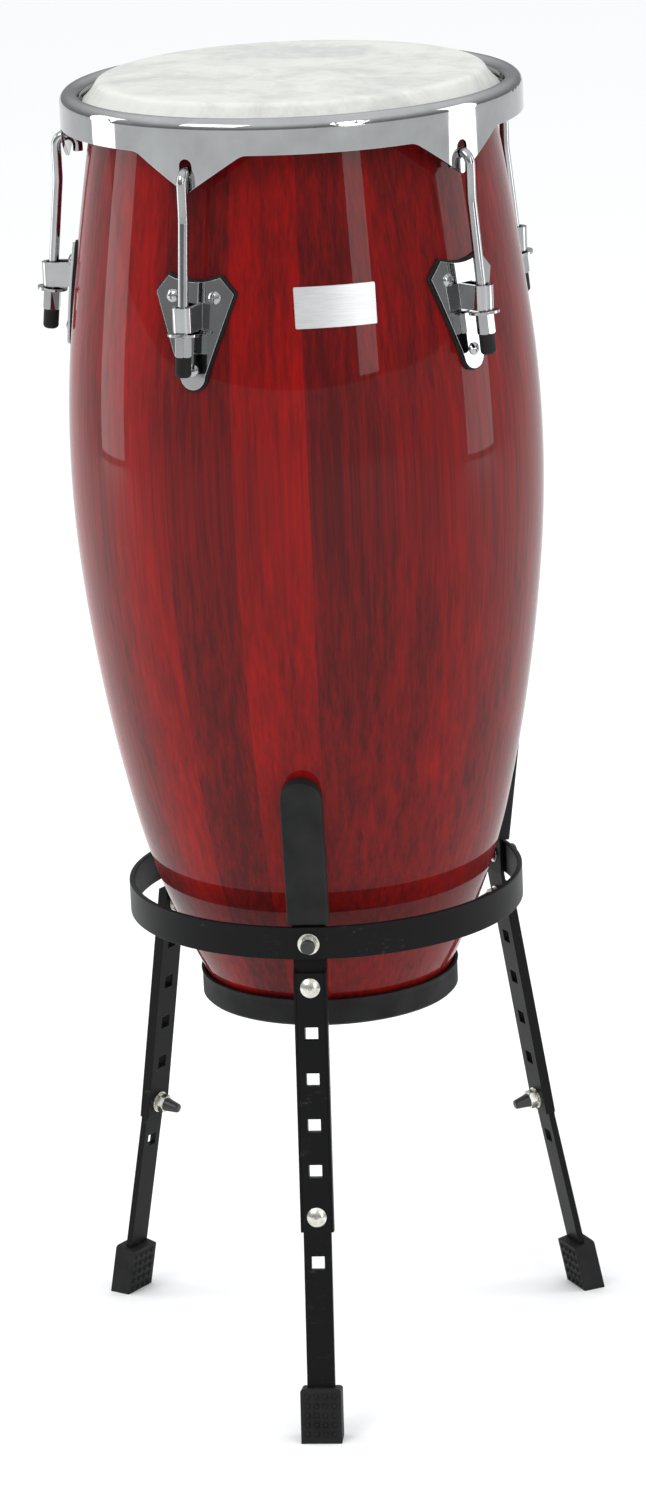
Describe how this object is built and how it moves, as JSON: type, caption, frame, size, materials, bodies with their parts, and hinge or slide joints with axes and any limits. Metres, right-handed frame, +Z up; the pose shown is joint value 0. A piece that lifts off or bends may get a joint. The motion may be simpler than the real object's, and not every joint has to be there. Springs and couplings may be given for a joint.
{
  "type": "conga drum on stand",
  "caption": "Tapered wooden hand drum with a tunable rawhide head, seated in a steel ring stand with rubber-sleeved arms and rubber feet.",
  "frame": {"origin": "on the floor under the common axis of the drum and of the stand's ring", "axes": "+Z up along the drum's axis; -Y towards the first leg of the stand"},
  "size_m": [0.4008, 0.417, 1.008],
  "materials": {
    "lacquered_wood": "gloss red lacquer over vertical grain",
    "hide": "natural untreated hide, matte",
    "chrome": "polished",
    "zinc": "bright zinc plate",
    "brushed_plate": "brushed, no marking",
    "black_steel": "satin black powder coat",
    "black_rubber": "matte",
    "black_plastic": "satin"
  },
  "bodies": {
    "stand": {"stand_ring": "black_steel", "ring_bolts": "zinc", "ring_washers": "zinc", "ring_nuts": "zinc", "ring_bolt_caps": "black_plastic", "leg_bolts": "zinc", "leg_washers": "zinc", "leg_nuts": "zinc", "leg_bolt_caps": "black_plastic", "leg_arm_1": "black_steel", "sleeve_1": "black_rubber", "lower_leg_1": "black_steel", "foot_1": "black_rubber", "leg_arm_2": "black_steel", "sleeve_2": "black_rubber", "lower_leg_2": "black_steel", "foot_2": "black_rubber", "leg_arm_3": "black_steel", "sleeve_3": "black_rubber", "lower_leg_3": "black_steel", "foot_3": "black_rubber"},
    "drum": {"shell": "lacquered_wood", "base_bumper": "black_rubber", "badge": "brushed_plate", "head_skin": "hide", "lug_gaskets": "black_rubber", "lug_screws": "chrome", "lug_screw_washers": "zinc", "lug_screw_nuts": "zinc", "hook_washers": "chrome", "lug_plate_1": "chrome", "lug_plate_2": "chrome", "lug_plate_3": "chrome", "lug_plate_4": "chrome", "lug_plate_5": "chrome"},
    "rim": {"rim": "chrome", "flesh_hoop": "hide"},
    "hook_1": {"hook_1": "chrome"},
    "nut_1": {"tension_nut_1": "chrome", "nut_cap_1": "black_rubber"},
    "hook_2": {"hook_2": "chrome"},
    "nut_2": {"tension_nut_2": "chrome", "nut_cap_2": "black_rubber"},
    "hook_3": {"hook_3": "chrome"},
    "nut_3": {"tension_nut_3": "chrome", "nut_cap_3": "black_rubber"},
    "hook_4": {"hook_4": "chrome"},
    "nut_4": {"tension_nut_4": "chrome", "nut_cap_4": "black_rubber"},
    "hook_5": {"hook_5": "chrome"},
    "nut_5": {"tension_nut_5": "chrome", "nut_cap_5": "black_rubber"}
  },
  "joints": [
    {"name": "drum_lift", "type": "slide", "parent": "stand", "child": "drum", "axis": [0, 0, 1], "range_m": [0, 0.3]},
    {"name": "rim_tension", "type": "slide", "parent": "drum", "child": "rim", "axis": [0, 0, -1], "range_m": [-0.004, 0.006], "deforming": ["head_skin"]},
    {"name": "hook_1_slide", "type": "slide", "parent": "drum", "child": "hook_1", "axis": [-0.0378, -0.0975, -0.9945], "range_m": [-0.0045, 0.0065]},
    {"name": "nut_1_turn", "type": "hinge", "parent": "drum", "child": "nut_1", "pos_m": [-0.06875, -0.17726, 0.836], "axis": [0.0378, 0.0975, 0.9945], "range_deg": [-1800, 1800]},
    {"name": "hook_2_slide", "type": "slide", "parent": "drum", "child": "hook_2", "axis": [0.081, -0.0661, -0.9945], "range_m": [-0.0045, 0.0065]},
    {"name": "nut_2_turn", "type": "hinge", "parent": "drum", "child": "nut_2", "pos_m": [0.14733, -0.12016, 0.836], "axis": [-0.081, 0.0661, 0.9945], "range_deg": [-1800, 1800]},
    {"name": "hook_3_slide", "type": "slide", "parent": "drum", "child": "hook_3", "axis": [0.0879, 0.0566, -0.9945], "range_m": [-0.0045, 0.0065]},
    {"name": "nut_3_turn", "type": "hinge", "parent": "drum", "child": "nut_3", "pos_m": [0.15981, 0.10299, 0.836], "axis": [-0.0879, -0.0566, 0.9945], "range_deg": [-1800, 1800]},
    {"name": "hook_4_slide", "type": "slide", "parent": "drum", "child": "hook_4", "axis": [-0.0267, 0.1011, -0.9945], "range_m": [-0.0045, 0.0065]},
    {"name": "nut_4_turn", "type": "hinge", "parent": "drum", "child": "nut_4", "pos_m": [-0.04857, 0.18381, 0.836], "axis": [0.0267, -0.1011, 0.9945], "range_deg": [-1800, 1800]},
    {"name": "hook_5_slide", "type": "slide", "parent": "drum", "child": "hook_5", "axis": [-0.1044, 0.0058, -0.9945], "range_m": [-0.0045, 0.0065]},
    {"name": "nut_5_turn", "type": "hinge", "parent": "drum", "child": "nut_5", "pos_m": [-0.18983, 0.01061, 0.836], "axis": [0.1044, -0.0058, 0.9945], "range_deg": [-1800, 1800]}
  ],
  "couplings": [
    {"joint": "hook_1_slide", "follows": "rim_tension", "ratio": 1.0055},
    {"joint": "nut_1_turn", "follows": "rim_tension", "rad_per_m": 5054.2},
    {"joint": "hook_2_slide", "follows": "rim_tension", "ratio": 1.0055},
    {"joint": "nut_2_turn", "follows": "rim_tension", "rad_per_m": 5054.2},
    {"joint": "hook_3_slide", "follows": "rim_tension", "ratio": 1.0055},
    {"joint": "nut_3_turn", "follows": "rim_tension", "rad_per_m": 5054.2},
    {"joint": "hook_4_slide", "follows": "rim_tension", "ratio": 1.0055},
    {"joint": "nut_4_turn", "follows": "rim_tension", "rad_per_m": 5054.2},
    {"joint": "hook_5_slide", "follows": "rim_tension", "ratio": 1.0055},
    {"joint": "nut_5_turn", "follows": "rim_tension", "rad_per_m": 5054.2}
  ]
}
